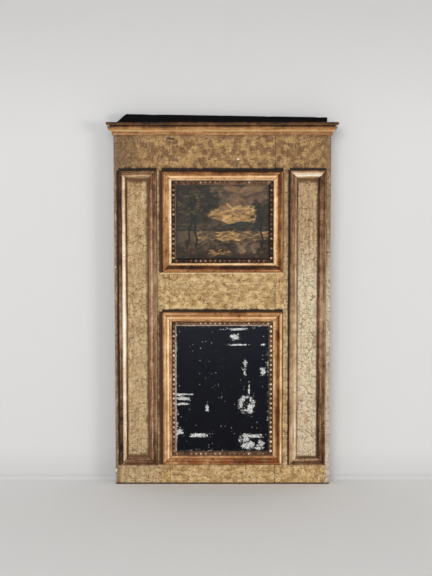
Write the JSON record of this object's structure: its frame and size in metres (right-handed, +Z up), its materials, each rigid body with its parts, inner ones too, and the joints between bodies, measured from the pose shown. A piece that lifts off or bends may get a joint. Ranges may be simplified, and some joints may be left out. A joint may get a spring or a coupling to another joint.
{
  "type": "trumeau mirror",
  "caption": "Upright painted and gilt trumeau mirror: a looking glass under a framed painted panel, between moulded side panels, with a cornice and ring hangers behind.",
  "frame": {"origin": "middle of the bounding box's bottom, on the surface that the mirror stands on", "axes": "+Z up, the mirror faces -Y, +X is to the right of someone facing it"},
  "size_m": [0.532, 0.056, 0.8625],
  "materials": {
    "painted_ground": "crackled cream and tan distemper paint, worm holes, worn",
    "frame_gilding": "worn water gilding over red-brown bole",
    "pearl_gilding": "tarnished gilding, burnished tops, dark hollows",
    "panel_moulding_gilding": "pale rubbed gilding and paint",
    "cornice_gilding": "worn gilding, dark grooves",
    "black_stained_wood": "black stain, matt",
    "dark_batten_wood": "aged softwood, sawn",
    "back_board_wood": "aged softwood, planed",
    "wedge_wood": "split softwood, glue size",
    "oil_painting": "dark aged oil paint under varnish",
    "silvered_glass": "old darkened looking glass with lost silver",
    "wrought_iron": "dark oxidised iron"
  },
  "bodies": {
    "root": {"back_board_tacks": "wrought_iron", "batten_nails": "wrought_iron", "bottom_batten": "dark_batten_wood", "bottom_rail": "painted_ground", "cornice_cap": "cornice_gilding", "cornice_front": "cornice_gilding", "cornice_left": "cornice_gilding", "cornice_right": "cornice_gilding", "frieze_rail": "painted_ground", "hanger_plate_left": "wrought_iron", "hanger_plate_right": "wrought_iron", "hanger_screws": "wrought_iron", "left_batten": "dark_batten_wood", "left_panel_bottom": "panel_moulding_gilding", "left_panel_left": "panel_moulding_gilding", "left_panel_right": "panel_moulding_gilding", "left_panel_top": "panel_moulding_gilding", "middle_batten": "dark_batten_wood", "middle_rail": "painted_ground", "mirror_back_board": "back_board_wood", "mirror_frame_bottom": "frame_gilding", "mirror_frame_left": "frame_gilding", "mirror_frame_right": "frame_gilding", "mirror_frame_top": "frame_gilding", "mirror_pearls_bottom": "pearl_gilding", "mirror_pearls_left": "pearl_gilding", "mirror_pearls_right": "pearl_gilding", "mirror_pearls_top": "pearl_gilding", "mirror_plate": "silvered_glass", "mirror_wedges": "wedge_wood", "painted_panel": "oil_painting", "picture_back_board": "back_board_wood", "picture_frame_bottom": "frame_gilding", "picture_frame_left": "frame_gilding", "picture_frame_right": "frame_gilding", "picture_frame_top": "frame_gilding", "picture_pearls_bottom": "pearl_gilding", "picture_pearls_left": "pearl_gilding", "picture_pearls_right": "pearl_gilding", "picture_pearls_top": "pearl_gilding", "picture_wedges": "wedge_wood", "right_batten": "dark_batten_wood", "right_panel_bottom": "panel_moulding_gilding", "right_panel_left": "panel_moulding_gilding", "right_panel_right": "panel_moulding_gilding", "right_panel_top": "panel_moulding_gilding", "stile_left": "painted_ground", "stile_right": "painted_ground", "top_batten": "black_stained_wood"},
    "left_ring": {"hanger_ring_left": "wrought_iron"},
    "right_ring": {"hanger_ring_right": "wrought_iron"}
  },
  "joints": [
    {"name": "left_ring_swing", "type": "hinge", "parent": "root", "child": "left_ring", "pos_m": [-0.1615, 0.01008, 0.69], "axis": [1, 0, 0], "range_deg": [0, 180]},
    {"name": "right_ring_swing", "type": "hinge", "parent": "root", "child": "right_ring", "pos_m": [0.1615, 0.01008, 0.69], "axis": [1, 0, 0], "range_deg": [0, 180]}
  ]
}
